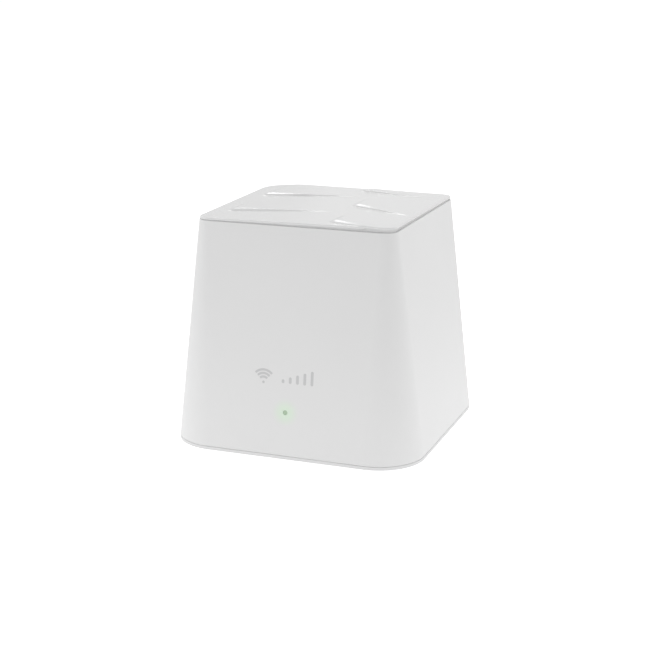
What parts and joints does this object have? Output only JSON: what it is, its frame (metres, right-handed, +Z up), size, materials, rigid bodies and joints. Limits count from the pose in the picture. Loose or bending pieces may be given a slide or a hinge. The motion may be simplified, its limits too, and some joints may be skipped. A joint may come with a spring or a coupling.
{
  "type": "wireless router",
  "caption": "Tapered white cube-shaped mesh router with a rippled floating top cover, a status light at the front and ports in a recess at the rear.",
  "frame": {"origin": "middle of the footprint, at the plane the four feet stand on", "axes": "+Z up; the front with the status light faces -Y; the ports face +Y; +X is to the right of somebody who looks at the front"},
  "size_m": [0.09, 0.09, 0.0819],
  "materials": {
    "shell_plastic": "satin",
    "cover_plastic": "satin",
    "base_plastic": "satin",
    "panel_plastic": "satin",
    "inner_plastic": "matte",
    "bracket_plastic": "matte",
    "foot_rubber": "matte",
    "label_film": "satin",
    "screw_steel": "zinc plated",
    "board_laminate": "solder resist",
    "antenna_laminate": "solder resist",
    "chip_plastic": "moulded",
    "sink_aluminium": "extruded",
    "pad_silicone": "soft",
    "shield_tin": "tin plated",
    "socket_plastic": "moulded",
    "contact_gold": "gold plated",
    "jack_plastic": "moulded",
    "jack_metal": "nickel plated",
    "button_plastic": "satin",
    "pipe_plastic": "clear",
    "led_package": "lit green",
    "ferrite": "matte",
    "capacitor_can": "sleeved",
    "cable_jacket": "smooth"
  },
  "bodies": {
    "case": {"outer_shell": "shell_plastic", "top_cover": "cover_plastic", "base_plate": "base_plastic", "rear_port_panel": "panel_plastic", "vent_frame": "inner_plastic", "antenna_bracket": "bracket_plastic", "foot_front_left": "foot_rubber", "foot_front_right": "foot_rubber", "foot_rear_left": "foot_rubber", "foot_rear_right": "foot_rubber", "rating_label": "label_film", "base_screws": "screw_steel", "board_screws": "screw_steel", "bracket_screws": "screw_steel", "main_board": "board_laminate", "router_processor": "chip_plastic", "thermal_pad": "pad_silicone", "heat_sink": "sink_aluminium", "memory_chip": "chip_plastic", "flash_chip": "chip_plastic", "radio_chip_5g": "chip_plastic", "radio_chip_2g": "chip_plastic", "radio_shield_5g": "shield_tin", "radio_shield_2g": "shield_tin", "wan_transformer": "chip_plastic", "lan_transformer": "chip_plastic", "supply_inductor": "ferrite", "filter_capacitors": "capacitor_can", "clock_crystals": "shield_tin", "wan_port_shield": "shield_tin", "lan_port_shield": "shield_tin", "wan_port_housing": "socket_plastic", "lan_port_housing": "socket_plastic", "wan_port_contacts": "contact_gold", "lan_port_contacts": "contact_gold", "power_jack_body": "jack_plastic", "power_jack_pin": "jack_metal", "power_jack_spring": "jack_metal", "reset_switch_body": "chip_plastic", "status_led": "led_package", "light_pipe": "pipe_plastic", "antenna_front": "antenna_laminate", "antenna_right": "antenna_laminate", "antenna_rear": "antenna_laminate", "antenna_left": "antenna_laminate", "antenna_cable_front": "cable_jacket", "antenna_cable_right": "cable_jacket", "antenna_cable_rear": "cable_jacket", "antenna_cable_left": "cable_jacket", "antenna_connectors": "contact_gold"},
    "reset_button": {"reset_button_cap": "button_plastic", "reset_switch_plunger": "button_plastic"}
  },
  "joints": [
    {"name": "reset_press", "type": "slide", "parent": "case", "child": "reset_button", "axis": [0, -1, 0], "range_m": [0, 0.0006], "stiffness_N_per_m": 400, "springref_m": -0.0005}
  ]
}
